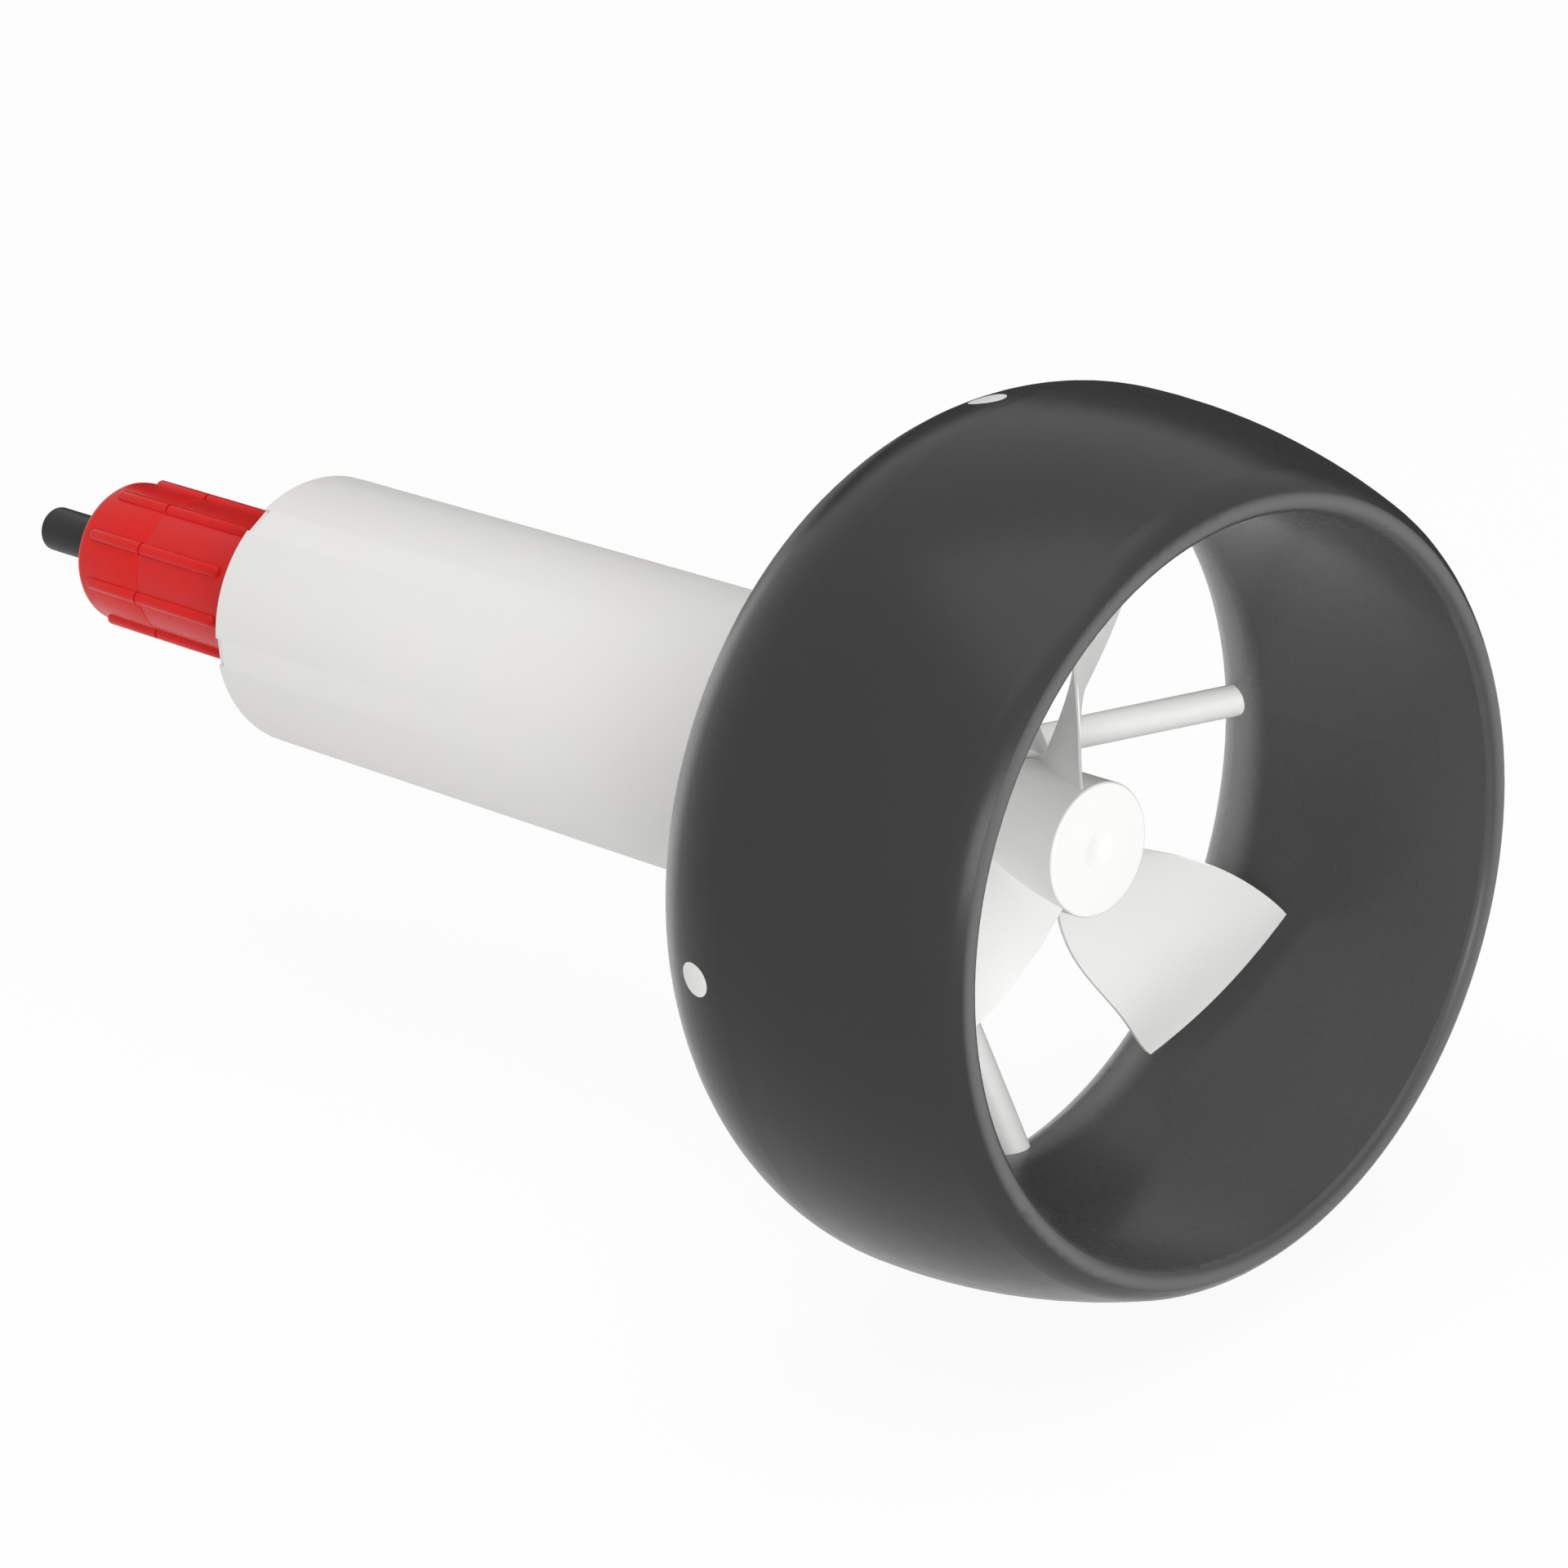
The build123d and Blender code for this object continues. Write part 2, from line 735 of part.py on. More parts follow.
nodes = {
    "housing_pipe": housing_pipe(),
    "nose_bulkhead": nose(),
    "nose_o_ring": o_ring(nose_ring_place, plug_radius),
    "rear_bulkhead": rear_plug(),
    "rear_o_ring": o_ring(plug_ring_place, plug_radius),
    "retaining_ring": retaining_ring(),
    "gland_body": gland_body(),
    "gland_nut": gland_nut(),
    "gland_seal": gland_seal(),
    "gland_washer": gland_washer(),
    "gland_gasket": gland_gasket(),
    "gland_locknut": gland_locknut(),
    "cable_jacket": cable_jacket(),
    "lead_positive": lead(1),
    "lead_negative": lead(-1),
    "lead_conductors": lead_copper(),
    "nozzle_ring": nozzle_ring(),
    "propeller": propeller(),
    "propeller_shaft": propeller_shaft(),
    "drive_pin": drive_pin(),
    "front_bush": shaft_bush(nose_front - shaft_seal_length - bush_length),
    "rear_bush": shaft_bush(spigot_rear),
    "shaft_seal": shaft_seal(),
    "seal_spring": garter_spring(),
    "front_thrust_washer": thrust_washer(nose_front + moving_gap, washer_gap),
    "rear_thrust_washer": thrust_washer(coupling_front + moving_gap, rear_thrust_washer),
    "shaft_coupling": coupling(),
    "coupling_screws": grub_screws(),
    "front_spacer": spacer(mount_front, spigot_rear),
    "rear_spacer": spacer(plug_front, mount_rear),
    "motor_mount": motor_mount(),
    "motor_mount_screws": mount_screws(),
    "motor_can": motor_can(),
    "motor_magnets": magnets(),
    "motor_end_bell": end_bell(),
    "motor_front_bush": motor_bush(mount_rear + motor_boss_length - motor_bush_length),
    "motor_rear_bush": motor_bush(motor_rear - motor_bush_length),
    "motor_brushes": brushes(),
    "brush_arms": brush_arms(),
    "motor_shaft": motor_shaft(),
    "armature_core": armature_core(),
    "armature_windings": around(windings(), pole_count),
    "commutator": commutator(),
}
for side, turn in strut_turns.items():
    nodes[f"strut_{side}"] = strut(turn)

for name, shape in nodes.items():
    solids = shape if isinstance(shape, list) else [shape]
    export_step(Compound(children=[s for item in solids for s in item.solids()]), f"parts/{name}.step")
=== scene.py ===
import json
from math import cos, pi, radians, sin

import bmesh
import bpy
from mathutils import Matrix, Vector


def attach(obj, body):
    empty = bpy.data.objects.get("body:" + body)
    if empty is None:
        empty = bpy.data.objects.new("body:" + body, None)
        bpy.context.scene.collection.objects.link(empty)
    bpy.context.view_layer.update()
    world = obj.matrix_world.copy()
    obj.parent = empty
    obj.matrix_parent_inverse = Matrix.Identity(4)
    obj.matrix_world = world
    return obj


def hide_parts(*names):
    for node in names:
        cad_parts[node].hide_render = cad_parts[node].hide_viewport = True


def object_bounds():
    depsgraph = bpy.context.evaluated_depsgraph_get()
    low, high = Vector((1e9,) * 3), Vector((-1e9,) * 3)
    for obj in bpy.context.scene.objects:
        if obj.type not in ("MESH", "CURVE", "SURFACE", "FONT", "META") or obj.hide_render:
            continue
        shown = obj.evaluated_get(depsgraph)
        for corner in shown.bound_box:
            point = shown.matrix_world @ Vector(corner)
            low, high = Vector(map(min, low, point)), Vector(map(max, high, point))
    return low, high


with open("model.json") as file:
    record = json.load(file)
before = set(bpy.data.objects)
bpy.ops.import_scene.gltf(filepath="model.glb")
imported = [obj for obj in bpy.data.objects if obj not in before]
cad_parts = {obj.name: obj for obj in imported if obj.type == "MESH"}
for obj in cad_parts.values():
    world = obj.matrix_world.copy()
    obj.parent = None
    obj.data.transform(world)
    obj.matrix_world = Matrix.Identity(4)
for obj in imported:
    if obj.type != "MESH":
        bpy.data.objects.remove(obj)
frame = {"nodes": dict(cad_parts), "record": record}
cad_box = [list(map(float, corner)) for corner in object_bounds()]
nodes = frame["nodes"]

# Metres. +X runs along the shaft to the mouth of the nozzle ring, +Z is up, and the origin is the
# middle of the housing pipe on the shaft axis. A section is a list of (x, r) points.
MM = 0.001
STATOR = "stator"

# Camera, fitted to the photograph's frame
CAMERA_PLACE = (0.5567, -0.4800, 0.2875)
CAMERA_RIGHT = (0.70194, 0.7076, -0.0797)
CAMERA_UP = (-0.22074, 0.3226, 0.9205)
CAMERA_LENS = 129.48
SENSOR_WIDTH = 36.0
CLIP_START, CLIP_END = 0.01, 50.0

# Edges sharper than this many degrees stay sharp. The gland and the cable have their own angle.
SMOOTH_ANGLE = 30
SMALL_SMOOTH_ANGLE = 32


# Camera


def make_camera():
    right = Vector(CAMERA_RIGHT).normalized()
    up = Vector(CAMERA_UP)
    back = right.cross(up).normalized()
    up = back.cross(right)
    data = bpy.data.cameras.new("camera")
    data.lens = CAMERA_LENS
    data.sensor_width = SENSOR_WIDTH
    data.clip_start = CLIP_START
    data.clip_end = CLIP_END
    camera = bpy.data.objects.new("camera", data)
    turn = Matrix((right, up, back)).transposed().to_4x4()
    camera.matrix_world = Matrix.Translation(CAMERA_PLACE) @ turn
    bpy.context.scene.collection.objects.link(camera)
    bpy.context.scene.camera = camera


make_camera()


# Meshes

# Points nearer than this are one.
MERGE = 1e-7
BAR_SEGMENTS = 48
CORNER_STEPS = 4


def new_object(name, mesh_data):
    """Object from a bmesh, shaded smooth."""
    bmesh.ops.recalc_face_normals(mesh_data, faces=mesh_data.faces[:])
    mesh = bpy.data.meshes.new(name)
    mesh_data.to_mesh(mesh)
    mesh_data.free()
    thing = bpy.data.objects.new(name, mesh)
    bpy.context.scene.collection.objects.link(thing)
    smooth(mesh, SMOOTH_ANGLE)
    return thing


def smooth(mesh, angle):
    mesh.shade_smooth()
    mesh.set_sharp_from_angle(angle=radians(angle))


def turned(name, section, segments):
    """Closed section turned about the shaft axis."""
    work = bmesh.new()
    rings = []
    for i in range(segments):
        a = 2 * pi * i / segments
        rings.append([work.verts.new((x, r * cos(a), r * sin(a))) for x, r in section])
    count = len(section)
    for i in range(segments):
        near, far = rings[i], rings[(i + 1) % segments]
        for j in range(count):
            k = (j + 1) % count
            if section[j][1] == 0 and section[k][1] == 0:
                continue
            work.faces.new([near[j], near[k], far[k], far[j]])
    bmesh.ops.remove_doubles(work, verts=work.verts[:], dist=MERGE)
    return new_object(name, work)


def rounded(corners):
    """Section with its corners rounded. A corner is (x, r) or (x, r, radius), in millimetres."""
    points = []
    count = len(corners)
    for i, corner in enumerate(corners):
        here = Vector(corner[:2])
        radius = corner[2] if len(corner) > 2 else 0
        if not radius:
            points.append(tuple(here * MM))
            continue
        before = (Vector(corners[i - 1][:2]) - here).normalized()
        after = (Vector(corners[(i + 1) % count][:2]) - here).normalized()
        half = before.angle(after) / 2
        reach = radius / (sin(half) / cos(half))
        start, end = here + before * reach, here + after * reach
        for j in range(CORNER_STEPS + 1):
            t = j / CORNER_STEPS
            flat = start.lerp(here, t).lerp(here.lerp(end, t), t)
            points.append(tuple(flat * MM))
    return points


def cut(thing, tool):
    """Takes the tool out of the thing, and deletes the tool."""
    combine(thing, tool, "DIFFERENCE")


def combine(thing, tool, operation):
    modifier = thing.modifiers.new("combine", "BOOLEAN")
    modifier.operation = operation
    modifier.solver = "EXACT"
    modifier.object = tool
    finish_modifiers(thing)
    bpy.data.objects.remove(tool)


def finish_modifiers(thing):
    graph = bpy.context.evaluated_depsgraph_get()
    done = bpy.data.meshes.new_from_object(thing.evaluated_get(graph))
    thing.modifiers.clear()
    thing.data = done


def bar_tool(start, direction, length, radius):
    """Plain round bar."""
    work = bmesh.new()
    bmesh.ops.create_cone(
        work, cap_ends=True, segments=BAR_SEGMENTS, radius1=radius, radius2=radius, depth=length
    )
    direction = Vector(direction).normalized()
    turn = direction.to_track_quat("Z", "Y").to_matrix().to_4x4()
    middle = Vector(start) + direction * length / 2
    bmesh.ops.transform(work, matrix=Matrix.Translation(middle) @ turn, verts=work.verts[:])
    return new_object("tool", work)


def box_tool(low, high):
    """Plain box between two corners, in millimetres."""
    work = bmesh.new()
    bmesh.ops.create_cube(work, size=1.0)
    low, high = Vector(low) * MM, Vector(high) * MM
    for vert in work.verts:
        vert.co = Vector([a + (b - a) * (c + 0.5) for a, b, c in zip(low, high, vert.co)])
    return new_object("tool", work)


def turn_about_shaft(thing, degrees):
    thing.data.transform(Matrix.Rotation(radians(degrees), 4, "X"))
    return thing


# Materials

# Each noise is (scale per millimetre, detail).
DRIFT_NOISE = (0.09, 3)
WEAR_NOISE = (0.35, 4)
STAIN_DETAIL, GRAIN_DETAIL = 2, 2
WEAR_SPAN = (0.3, 0.7)
STAIN_SPAN = (0.50, 0.72)


def material(name, colour, roughness, vary, grain, grain_scale=1.2, streaks=(1, 1, 1),
             metallic=0.0, specular=0.5, rough_vary=0.04, stain=None, painted_highlight=None):
    """Procedural surface in millimetres. vary is the share by which the colour drifts, grain is the
    depth of the fine bump, streaks stretches the bump along an axis, stain is a faint second colour
    with its share and noise scale, and the last argument is a paler colour with its patches, painted
    on as highlights and sheen."""
    made = bpy.data.materials.new(name)
    made.use_nodes = True
    tree = made.node_tree
    links = tree.links
    shader = tree.nodes["Principled BSDF"]
    shader.inputs["Metallic"].default_value = metallic
    shader.inputs["Specular IOR Level"].default_value = specular

    place = tree.nodes.new("ShaderNodeTexCoord")
    scale = tree.nodes.new("ShaderNodeMapping")
    scale.inputs["Scale"].default_value = (1 / MM, 1 / MM, 1 / MM)
    links.new(place.outputs["Object"], scale.inputs["Vector"])

    drift = noise(tree, scale, *DRIFT_NOISE)
    mix = tree.nodes.new("ShaderNodeMix")
    mix.data_type = "RGBA"
    links.new(drift.outputs["Fac"], mix.inputs["Factor"])
    mix.inputs["A"].default_value = (*[c * (1 - vary) for c in colour], 1)
    mix.inputs["B"].default_value = (*[min(1, c * (1 + vary)) for c in colour], 1)
    result = mix.outputs["Result"]
    if stain:
        stain_colour, share, size = stain
        patch = noise(tree, scale, size, STAIN_DETAIL)
        factor = map_range(tree, patch.outputs["Fac"], STAIN_SPAN, (0, share))
        result = layer(tree, factor, result, stain_colour)
    # Painted highlight and sheen: a paler colour laid on in bands.
    if painted_highlight:
        result = paint_highlight(tree, scale, result, *painted_highlight)
    links.new(result, shader.inputs["Base Color"])

    wear = noise(tree, scale, *WEAR_NOISE)
    span = (roughness - rough_vary, roughness + rough_vary)
    rough = map_range(tree, wear.outputs["Fac"], WEAR_SPAN, span)
    links.new(rough, shader.inputs["Roughness"])

    stretch = tree.nodes.new("ShaderNodeMapping")
    stretch.inputs["Scale"].default_value = streaks
    links.new(scale.outputs["Vector"], stretch.inputs["Vector"])
    fine = noise(tree, stretch, grain_scale, GRAIN_DETAIL)
    bump = tree.nodes.new("ShaderNodeBump")
    bump.inputs["Distance"].default_value = grain * MM
    bump.inputs["Strength"].default_value = 1.0
    links.new(fine.outputs["Fac"], bump.inputs["Height"])
    links.new(bump.outputs["Normal"], shader.inputs["Normal"])
    return made


def noise(tree, source, scale, detail):
    node = tree.nodes.new("ShaderNodeTexNoise")
    node.inputs["Scale"].default_value = scale
    node.inputs["Detail"].default_value = detail
    tree.links.new(source.outputs["Vector"], node.inputs["Vector"])
    return node


def map_range(tree, value, span, to_span, interpolation="LINEAR"):
    node = tree.nodes.new("ShaderNodeMapRange")
    node.interpolation_type = interpolation
    node.inputs["From Min"].default_value, node.inputs["From Max"].default_value = span
    node.inputs["To Min"].default_value, node.inputs["To Max"].default_value = to_span
    tree.links.new(value, node.inputs["Value"])
    return node.outputs["Result"]


def layer(tree, factor, below, colour):
    """Colour laid over the one below it."""
    over = tree.nodes.new("ShaderNodeMix")
    over.data_type = "RGBA"
    tree.links.new(factor, over.inputs["Factor"])
    tree.links.new(below, over.inputs["A"])
    over.inputs["B"].default_value = (*colour, 1)
    return over.outputs["Result"]


def calculate(tree, operation, first, second):
    """Math node. Its first value is a socket, its second a socket or a number."""
    node = tree.nodes.new("ShaderNodeMath")
    node.operation = operation
    tree.links.new(first, node.inputs[0])
    if isinstance(second, float):
        node.inputs[1].default_value = second
    else:
        tree.links.new(second, node.inputs[1])
    return node.outputs["Value"]


def paint_highlight(tree, scale, below, colour, patches):
    """Paler colour painted on in bands, as painted highlights and sheen. A patch is (along the
    shaft, distance from it, share), and each of the first two says where the patch starts and where
    it is full, or is None."""
    split = tree.nodes.new("ShaderNodeSeparateXYZ")
    flat = tree.nodes.new("ShaderNodeVectorMath")
    flat.operation = "MULTIPLY"
    flat.inputs[1].default_value = (0, 1, 1)
    away = tree.nodes.new("ShaderNodeVectorMath")
    away.operation = "LENGTH"
    tree.links.new(scale.outputs["Vector"], split.inputs["Vector"])
    tree.links.new(scale.outputs["Vector"], flat.inputs[0])
    tree.links.new(flat.outputs["Vector"], away.inputs[0])
    for along, across, share in patches:
        factor = None
        for place, ends in ((split.outputs["X"], along), (away.outputs["Value"], across)):
            if ends is None:
                continue
            if factor is None:
                factor = map_range(tree, place, ends, (0, share), "SMOOTHSTEP")
            else:
                step = map_range(tree, place, ends, (0, 1), "SMOOTHSTEP")
                factor = calculate(tree, "MULTIPLY", factor, step)
        below = layer(tree, factor, below, colour)
    return below


ALONG_SHAFT = (0.03, 1, 1)
ROUND_SHAFT = (1, 0.02, 0.02)
ACROSS_PLATES = (1, 0.01, 0.01)
WARM = (0.77, 0.72, 0.66)
# Paler bands on the ring: painted highlights on the rear rim, outside and inside, and on the mouth
# rim, and a painted sheen in the throat.
PAINTED_HIGHLIGHT_COLOUR = (0.30, 0.30, 0.30)
REAR_OUTSIDE_HIGHLIGHT = ((80.0, 75.5), None, 0.62)
REAR_INSIDE_HIGHLIGHT = ((85.0, 79.0), (55.0, 53.0), 0.80)
MOUTH_RIM_HIGHLIGHT = ((122.5, 123.15), None, 0.33)
THROAT_SHEEN = (None, (49.8, 48.7), 0.15)
PAINTED_HIGHLIGHT_PATCHES = [REAR_OUTSIDE_HIGHLIGHT, REAR_INSIDE_HIGHLIGHT, MOUTH_RIM_HIGHLIGHT, THROAT_SHEEN]

finishes = {
    "housing_plastic": material(
        "pipe plastic", (0.76, 0.755, 0.745), 0.55, vary=0.012, grain=0.004, grain_scale=1.0,
        streaks=ALONG_SHAFT, specular=0.35, stain=(WARM, 0.35, 0.045)
    ),
    "propeller_plastic": material(
        "propeller plastic", (0.80, 0.80, 0.79), 0.50, vary=0.010, grain=0.003, grain_scale=1.6,
        specular=0.35
    ),
    "strut_plastic": material(
        "strut plastic", (0.76, 0.76, 0.75), 0.50, vary=0.012, grain=0.003, streaks=ALONG_SHAFT,
        specular=0.35
    ),
    # The ring's paler bands are painted highlights and painted sheen.
    "ring_plastic": material(
        "ring plastic", (0.028, 0.028, 0.028), 0.27, vary=0.03, grain=0.001, grain_scale=1.8,
        specular=0.17, rough_vary=0.02, painted_highlight=(PAINTED_HIGHLIGHT_COLOUR, PAINTED_HIGHLIGHT_PATCHES)
    ),
    "gland_plastic": material(
        "gland plastic", (0.64, 0.012, 0.010), 0.28, vary=0.04, grain=0.003, grain_scale=1.4,
        specular=0.15
    ),
    "cable_rubber": material(
        "cable jacket", (0.020, 0.020, 0.021), 0.42, vary=0.10, grain=0.006, streaks=ALONG_SHAFT,
        specular=0.15
    ),
    "seal_rubber": material(
        "seal rubber", (0.025, 0.025, 0.026), 0.60, vary=0.10, grain=0.004
    ),
    "lead_red": material(
        "red insulation", (0.50, 0.02, 0.02), 0.40, vary=0.05, grain=0.003
    ),
    "lead_black": material(
        "black insulation", (0.022, 0.022, 0.022), 0.40, vary=0.08, grain=0.003
    ),
    "copper": material(
        "copper", (0.72, 0.36, 0.20), 0.30, vary=0.08, grain=0.004, grain_scale=2.0, metallic=1.0
    ),
    "spring_steel": material(
        "spring steel", (0.42, 0.42, 0.44), 0.32, vary=0.05, grain=0.002, grain_scale=2.0,
        streaks=ROUND_SHAFT, metallic=1.0
    ),
    "shaft_steel": material(
        "ground steel", (0.60, 0.60, 0.61), 0.22, vary=0.03, grain=0.002, grain_scale=2.4,
        streaks=ROUND_SHAFT, metallic=1.0
    ),
    "bush_bronze": material(
        "bronze", (0.58, 0.40, 0.19), 0.34, vary=0.06, grain=0.003, grain_scale=2.0, metallic=1.0
    ),
    "coupling_aluminium": material(
        "turned aluminium", (0.74, 0.74, 0.75), 0.30, vary=0.03, grain=0.003, grain_scale=2.0,
        streaks=ROUND_SHAFT, metallic=1.0
    ),
    "spacer_plastic": material(
        "spacer plastic", (0.34, 0.35, 0.37), 0.50, vary=0.03, grain=0.003
    ),
    "washer_plastic": material(
        "slip plastic", (0.83, 0.81, 0.74), 0.42, vary=0.02, grain=0.002
    ),
    "motor_steel": material(
        "zinc plate", (0.50, 0.50, 0.50), 0.36, vary=0.06, grain=0.002, grain_scale=2.0,
        metallic=1.0
    ),
    "magnet_ferrite": material(
        "ferrite", (0.09, 0.09, 0.09), 0.55, vary=0.08, grain=0.005
    ),
    "bell_plastic": material(
        "motor plastic", (0.05, 0.05, 0.055), 0.45, vary=0.06, grain=0.003
    ),
    "brush_carbon": material(
        "carbon", (0.06, 0.06, 0.06), 0.55, vary=0.10, grain=0.005
    ),
    "core_iron": material(
        "stacked iron", (0.20, 0.20, 0.21), 0.45, vary=0.05, grain=0.020, grain_scale=1.4,
        streaks=ACROSS_PLATES, metallic=1.0
    ),
}

for row in frame["record"]["subparts"]:
    node = nodes[row["node"]]
    node.data.materials.clear()
    node.data.materials.append(finishes[row["material_slot"]])


# Pieces. Their measures are in millimetres and the part's own. Only the ends of the gland's ribs
# differ, which follow the photograph, and the small rounded edges are added here.

PIPE_REAR, PIPE_FRONT = -56.5, 56.5
PIPE_RADIUS, PIPE_BORE = 20.0, 17.0
PIPE_EDGE = 0.35
PIPE_SEGMENTS = 240
CLIP_GROOVE = (-54.25, -53.0, 18.0)
NOTCH_COUNT, NOTCH_WIDTH, NOTCH_DEPTH, NOTCH_LENGTH = 6, 4.2, 0.6, 1.4
NOTCH_SPARE = 1

GLAND_REAR, NUT_FRONT, GLAND_SHOULDER, NECK_FRONT = -100.9, -86.1, -54.0, -39.0
GLAND_RADIUS, GLAND_THREAD, GLAND_NECK, GLAND_SEAL = 10.85, 9.0, 8.0, 6.55
GLAND_HOLE, GLAND_SEAT = 3.7, -88.6
HOLE_EDGE, NUT_EDGE, NECK_EDGE = 0.3, 1.3, 0.4
NUT_WALL, THREAD_REAR = 3.0, -95.6
GLAND_SEGMENTS = 180
RIB_COUNT, RIB_PHASE, RIB_RADIUS, RIB_HEIGHT = 9, 25.0, 1.0, 0.9
RIB_SETBACK, RIB_FRONT = 2.7, -68.0
RIB_SEGMENTS_ROUND, RIB_SEGMENTS_ALONG = 24, 16
RIB_SPARE = 4.0
SEAM, SEAM_EDGE, SEAM_SLIP = 0.20, 0.20, 0.05
# Points of a rib nearer its middle than this stay there.
RIB_MIDDLE = 1e-9

CABLE_END, CABLE_FRONT, CABLE_RADIUS = -119.1, -40.0, 3.4
CABLE_EDGE = 0.25
CABLE_SEGMENTS = 96
LEAD_SPREAD, LEAD_RADIUS, LEAD_SLIP, LEAD_SPARE = 1.35, 1.15, 0.03, 1


def pipe_sleeve():
    rear, front, depth = CLIP_GROOVE
    section = rounded([
        (PIPE_REAR, PIPE_BORE, PIPE_EDGE),
        (PIPE_REAR, PIPE_RADIUS, PIPE_EDGE),
        (PIPE_FRONT, PIPE_RADIUS, PIPE_EDGE),
        (PIPE_FRONT, PIPE_BORE),
        (front, PIPE_BORE),
        (front, depth),
        (rear, depth),
        (rear, PIPE_BORE),
    ])
    pipe = turned("pipe_sleeve", section, PIPE_SEGMENTS)
    half = NOTCH_WIDTH / 2
    low = (PIPE_REAR - NOTCH_SPARE, PIPE_RADIUS - NOTCH_DEPTH, -half)
    high = (PIPE_REAR + NOTCH_LENGTH, PIPE_RADIUS + NOTCH_SPARE, half)
    for i in range(NOTCH_COUNT):
        cut(pipe, turn_about_shaft(box_tool(low, high), i * 360 / NOTCH_COUNT))
    smooth(pipe.data, SMOOTH_ANGLE)
    return pipe


def rib_bars(x0, x1):
    """Rounded bars with domed ends, half sunk in the gland."""
    work = bmesh.new()
    radius = RIB_RADIUS * MM
    bmesh.ops.create_uvsphere(
        work, u_segments=RIB_SEGMENTS_ROUND, v_segments=RIB_SEGMENTS_ALONG, radius=radius
    )
    bmesh.ops.rotate(work, matrix=Matrix.Rotation(pi / 2, 3, "Y"), verts=work.verts[:])
    middle = (x0 + x1) / 2 * MM
    half = (x1 - x0) / 2 * MM - radius
    height = (GLAND_RADIUS + RIB_HEIGHT - RIB_RADIUS) * MM
    for vert in work.verts:
        side = 1 if vert.co.x > RIB_MIDDLE else -1 if vert.co.x < -RIB_MIDDLE else 0
        vert.co += Vector((middle + side * half, height, 0))
    mesh = bpy.data.meshes.new("rib")
    work.to_mesh(mesh)
    work.free()
    whole = bmesh.new()
    for i in range(RIB_COUNT):
        spun = mesh.copy()
        spun.transform(Matrix.Rotation(radians(RIB_PHASE + i * 360 / RIB_COUNT), 4, "X"))
        whole.from_mesh(spun)
        bpy.data.meshes.remove(spun)
    bpy.data.meshes.remove(mesh)
    return new_object("tool", whole)


def add_ribs(gland, x0, x1, gap_start, gap_end):
    """Puts ribs on a half of the gland, square-ended where the other half begins."""
    ribs = rib_bars(x0, x1)
    reach = GLAND_RADIUS + RIB_SPARE
    cut(ribs, box_tool((gap_start, -reach, -reach), (gap_end, reach, reach)))
    combine(gland, ribs, "UNION")
    smooth(gland.data, SMALL_SMOOTH_ANGLE)


def gland_nut():
    section = rounded([
        (GLAND_REAR, GLAND_HOLE, HOLE_EDGE),
        (GLAND_REAR, GLAND_RADIUS, NUT_EDGE),
        (NUT_FRONT - SEAM_SLIP, GLAND_RADIUS, SEAM_EDGE),
        (NUT_FRONT - SEAM_SLIP, GLAND_THREAD + SEAM_SLIP),
        (GLAND_REAR + NUT_WALL, GLAND_THREAD + SEAM_SLIP),
        (GLAND_REAR + NUT_WALL, GLAND_HOLE),
    ])
    nut = turned("gland_nut_shell", section, GLAND_SEGMENTS)
    add_ribs(nut, GLAND_REAR + RIB_SETBACK, NUT_FRONT + RIB_SPARE, NUT_FRONT - SEAM, GLAND_SHOULDER)
    return nut


def gland_body():
    section = rounded([
        (THREAD_REAR, GLAND_SEAL),
        (THREAD_REAR, GLAND_THREAD),
        (NUT_FRONT, GLAND_THREAD),
        (NUT_FRONT, GLAND_RADIUS, SEAM_EDGE),
        (GLAND_SHOULDER, GLAND_RADIUS),
        (GLAND_SHOULDER, GLAND_NECK),
        (NECK_FRONT, GLAND_NECK, NECK_EDGE),
        (NECK_FRONT, GLAND_HOLE),
        (GLAND_SEAT, GLAND_HOLE),
        (GLAND_SEAT, GLAND_SEAL),
    ])
    body = turned("gland_body_shell", section, GLAND_SEGMENTS)
    add_ribs(body, NUT_FRONT - RIB_SPARE, RIB_FRONT, GLAND_REAR, NUT_FRONT + SEAM)
    return body


def cable_skin():
    """Jacket with a cleanly cut end, and holes that its two leads fill."""
    section = rounded([
        (CABLE_END, 0),
        (CABLE_END, CABLE_RADIUS, CABLE_EDGE),
        (CABLE_FRONT, CABLE_RADIUS),
        (CABLE_FRONT, 0),
    ])
    jacket = turned("cable_skin", section, CABLE_SEGMENTS)
    for side in (1, -1):
        start = ((CABLE_END - LEAD_SPARE) * MM, side * LEAD_SPREAD * MM, 0)
        length = (CABLE_FRONT - CABLE_END + 2 * LEAD_SPARE) * MM
        cut(jacket, bar_tool(start, (1, 0, 0), length, (LEAD_RADIUS + LEAD_SLIP) * MM))
    smooth(jacket.data, SMALL_SMOOTH_ANGLE)
    return jacket


def dress(thing, slot, body, *replaced):
    thing.data.materials.clear()
    thing.data.materials.append(finishes[slot])
    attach(thing, body)
    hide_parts(*replaced)


dress(pipe_sleeve(), "housing_plastic", STATOR, "housing_pipe")
dress(gland_nut(), "gland_plastic", STATOR, "gland_nut")
dress(gland_body(), "gland_plastic", STATOR, "gland_body")
dress(cable_skin(), "cable_rubber", STATOR, "cable_jacket")


# Light and floor

WORLD_LEVEL = 0.45
AIM = (0.08, 0, 0)
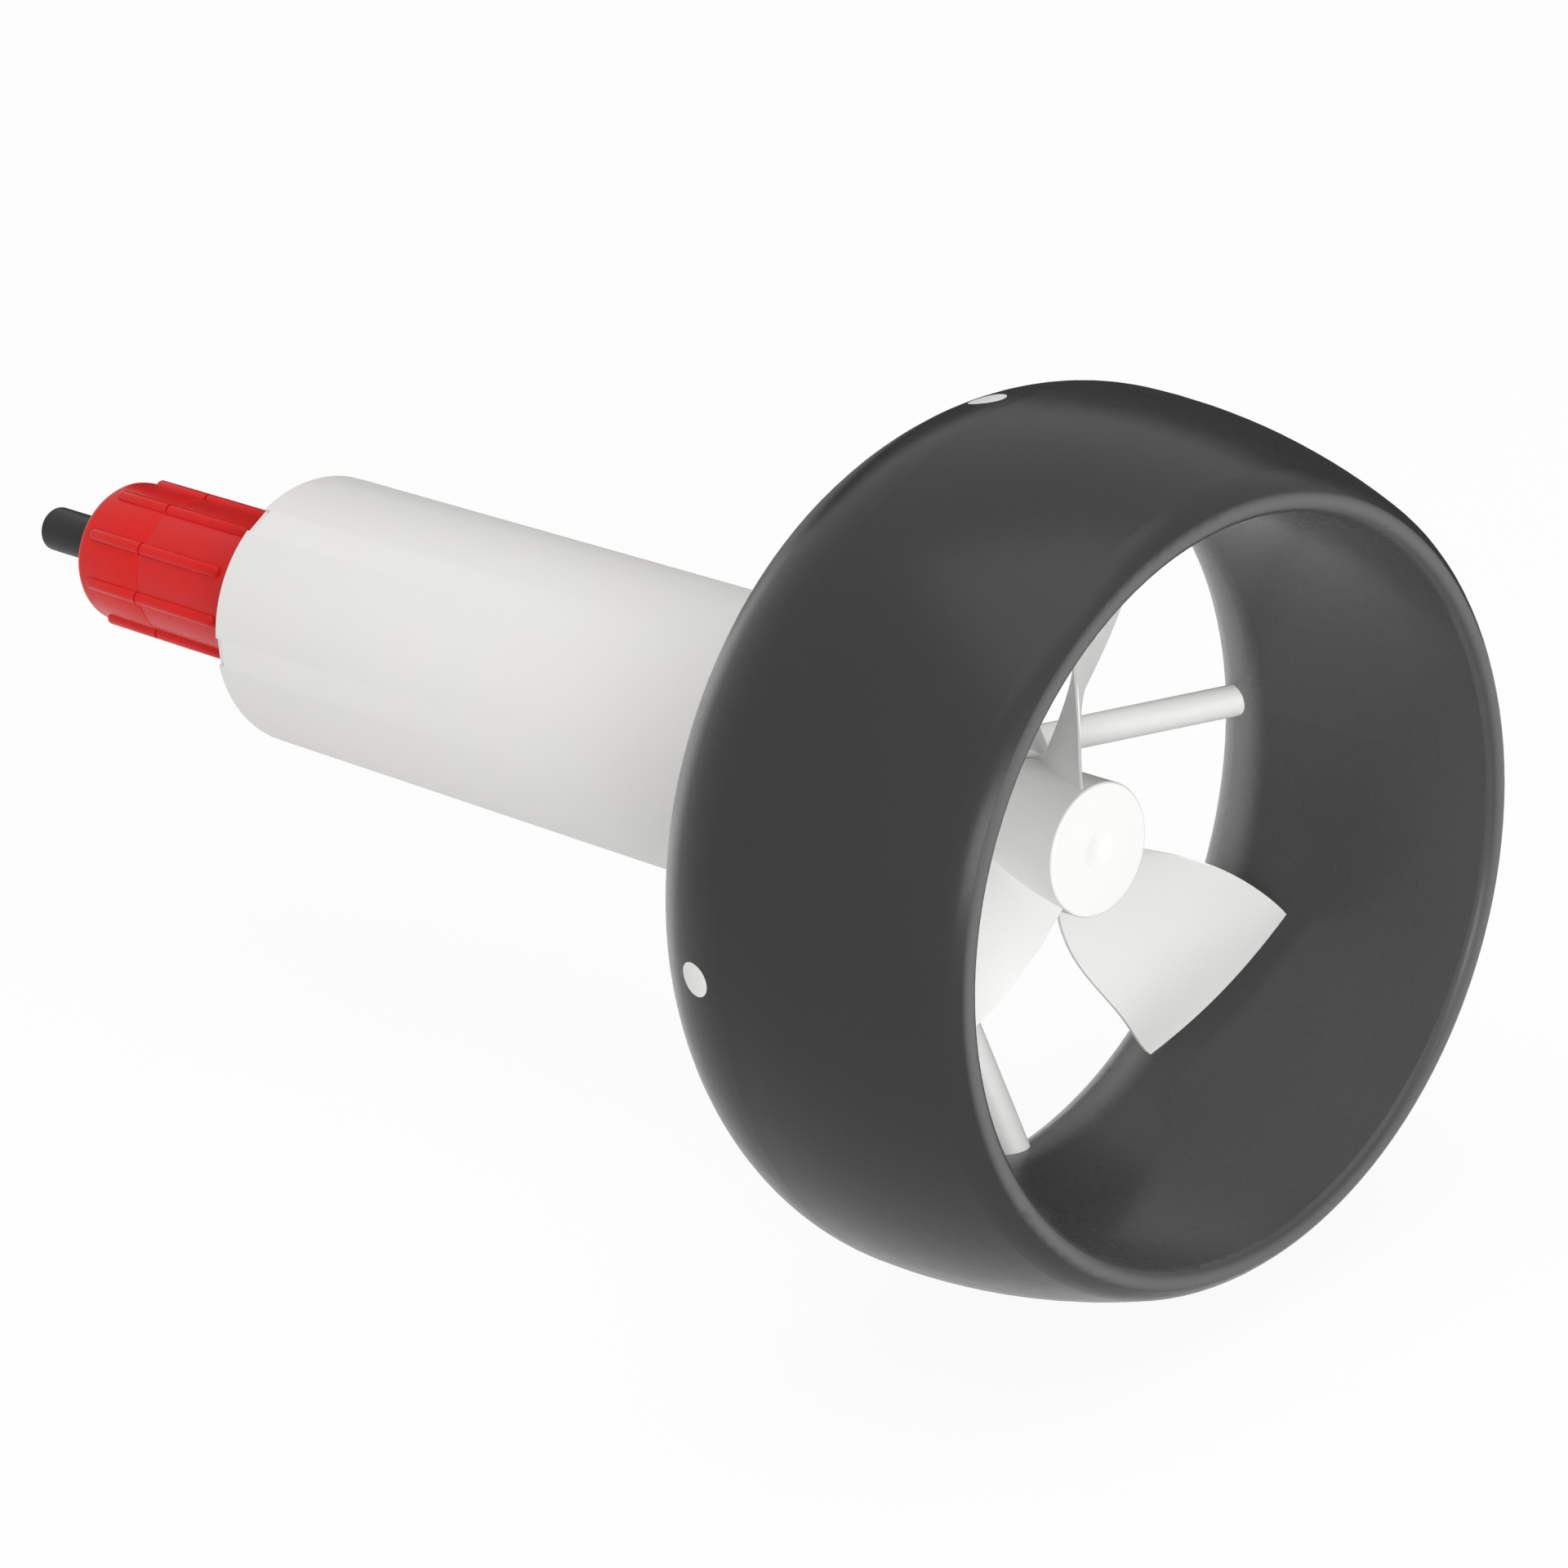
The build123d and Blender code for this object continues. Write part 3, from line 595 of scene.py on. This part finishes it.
# Name, place, size in metres, power in watts
LAMPS = [
    ("front", (1.20, -0.42, 0.26), (0.9, 0.7), 7.6),
    ("side", (1.00, -0.75, 0.30), (0.5, 0.4), 4.9),
    ("top", (0.20, -0.10, 1.30), (1.2, 1.2), 8.0),
]
CARD_PLACE, CARD_AIM = (-0.06, 0.21, 0.05), (0.068, 0.01, 0.05)
CARD_SIZE = (0.44, 0.22)
CARD_COLOUR = (0.03, 0.03, 0.03, 1)
FLOOR_DROP, FLOOR_SIZE = 0.001, 20.0
FLOOR_COLOUR = (0.90, 0.90, 0.90, 1)
WHITE_SHARE = 0.93
WHITE = (1, 1, 1, 1)


def face(thing, place, aim):
    """Puts a thing in its place, turned to where it aims."""
    thing.location = place
    thing.rotation_euler = (Vector(aim) - Vector(place)).to_track_quat("-Z", "Y").to_euler()
    bpy.context.scene.collection.objects.link(thing)


def area_light(name, place, size, power):
    data = bpy.data.lights.new(name, "AREA")
    data.shape = "RECTANGLE"
    data.size, data.size_y = size
    data.energy = power
    face(bpy.data.objects.new(name, data), place, AIM)


def flat_mesh(name, across, up, height):
    """Level rectangle about the z axis."""
    mesh = bpy.data.meshes.new(name)
    half, rise = across / 2, up / 2
    sides = [(-half, -rise), (half, -rise), (half, rise), (-half, rise)]
    mesh.from_pydata([(x, y, height) for x, y in sides], [], [(0, 1, 2, 3)])
    return mesh


def make_card():
    """Dark studio card that only gloss sees. It makes the ring's top edge darker, nearer to the
    photograph's."""
    card = bpy.data.objects.new("card", flat_mesh("card", *CARD_SIZE, 0))
    face(card, CARD_PLACE, CARD_AIM)
    made = bpy.data.materials.new("card")
    made.use_nodes = True
    shader = made.node_tree.nodes["Principled BSDF"]
    shader.inputs["Base Color"].default_value = CARD_COLOUR
    shader.inputs["Roughness"].default_value = 1.0
    card.data.materials.append(made)
    card.visible_camera = False
    card.visible_diffuse = False
    card.visible_shadow = False
    card.visible_transmission = False


def make_world():
    """Plain grey light on the object, and white where the camera, gloss or glass sees it."""
    world = bpy.data.worlds.new("studio")
    bpy.context.scene.world = world
    world.use_nodes = True
    tree = world.node_tree
    tree.nodes.clear()
    out = tree.nodes.new("ShaderNodeOutputWorld")
    mix = tree.nodes.new("ShaderNodeMixShader")
    dim = tree.nodes.new("ShaderNodeBackground")
    white = tree.nodes.new("ShaderNodeBackground")
    dim.inputs["Strength"].default_value = WORLD_LEVEL
    white.inputs["Strength"].default_value = 1.0
    dim.inputs["Color"].default_value = WHITE
    white.inputs["Color"].default_value = WHITE
    tree.links.new(seen_by(tree), mix.inputs["Fac"])
    tree.links.new(dim.outputs["Background"], mix.inputs[1])
    tree.links.new(white.outputs["Background"], mix.inputs[2])
    tree.links.new(mix.outputs["Shader"], out.inputs["Surface"])


def seen_by(tree):
    """1 for a ray of the camera, of gloss or of glass, and 0 for the light that falls on things."""
    rays = tree.nodes.new("ShaderNodeLightPath").outputs
    seen = calculate(tree, "MAXIMUM", rays["Is Camera Ray"], rays["Is Glossy Ray"])
    return calculate(tree, "MAXIMUM", seen, rays["Is Transmission Ray"])


def make_floor(height):
    """Pale floor that takes a soft shadow and blends into the white background."""
    floor = bpy.data.objects.new("floor", flat_mesh("floor", FLOOR_SIZE, FLOOR_SIZE, height))
    bpy.context.scene.collection.objects.link(floor)
    made = bpy.data.materials.new("floor")
    made.use_nodes = True
    tree = made.node_tree
    tree.nodes.clear()
    out = tree.nodes.new("ShaderNodeOutputMaterial")
    matt = tree.nodes.new("ShaderNodeBsdfDiffuse")
    matt.inputs["Color"].default_value = FLOOR_COLOUR
    glow = tree.nodes.new("ShaderNodeEmission")
    glow.inputs["Color"].default_value = WHITE
    glow.inputs["Strength"].default_value = 1.0
    share = calculate(tree, "MULTIPLY", seen_by(tree), WHITE_SHARE)
    mix = tree.nodes.new("ShaderNodeMixShader")
    tree.links.new(share, mix.inputs["Fac"])
    tree.links.new(matt.outputs["BSDF"], mix.inputs[1])
    tree.links.new(glow.outputs["Emission"], mix.inputs[2])
    tree.links.new(mix.outputs["Shader"], out.inputs["Surface"])
    floor.data.materials.append(made)


make_world()
make_floor(cad_box[0][2] - FLOOR_DROP)
make_card()
for name, place, size, power in LAMPS:
    area_light(name, place, size, power)

bpy.context.scene.view_settings.view_transform = "Standard"
